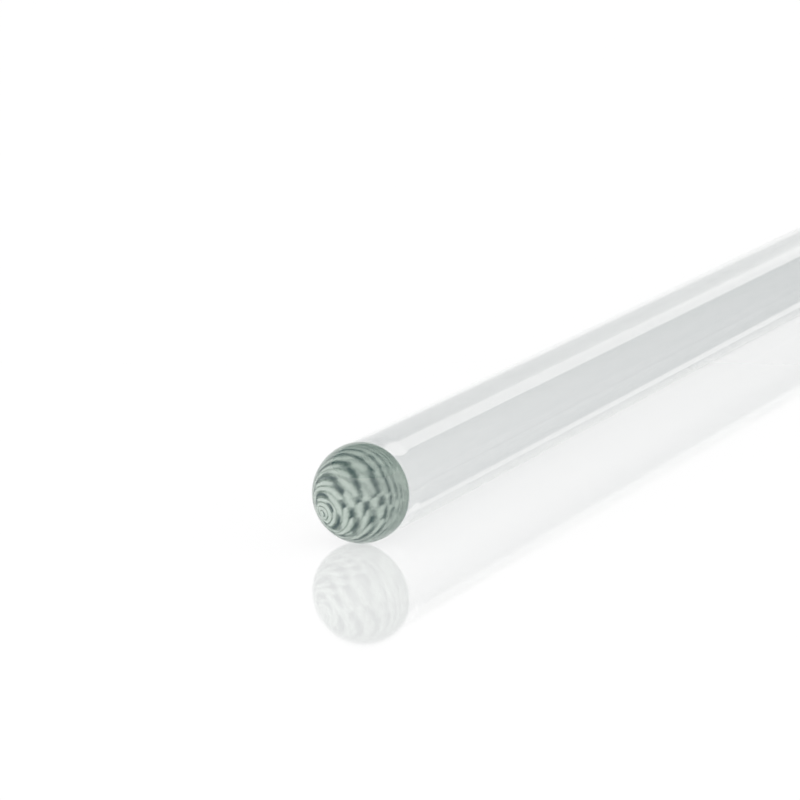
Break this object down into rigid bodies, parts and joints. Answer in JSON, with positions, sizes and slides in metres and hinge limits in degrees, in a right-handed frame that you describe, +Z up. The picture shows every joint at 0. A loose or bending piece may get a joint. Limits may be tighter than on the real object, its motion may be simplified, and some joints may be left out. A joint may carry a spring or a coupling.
{
  "type": "glass stirring rod",
  "caption": "Solid straight glass rod with both ends melted to a low dome, one rounder than the other, for stirring by hand or held by its shaft in a clamp or a bored stopper.",
  "frame": {"origin": "on the line where the lying rod touches the surface under it, halfway along its length", "axes": "+X along the rod's axis, +Z up from the surface that the rod lies on"},
  "size_m": [0.125, 0.006, 0.006],
  "materials": {
    "clear_glass": "fire-polished clear glass, colourless across its width and pale grey-green along its length"
  },
  "bodies": {
    "root": {"rod": "clear_glass"}
  },
  "joints": []
}
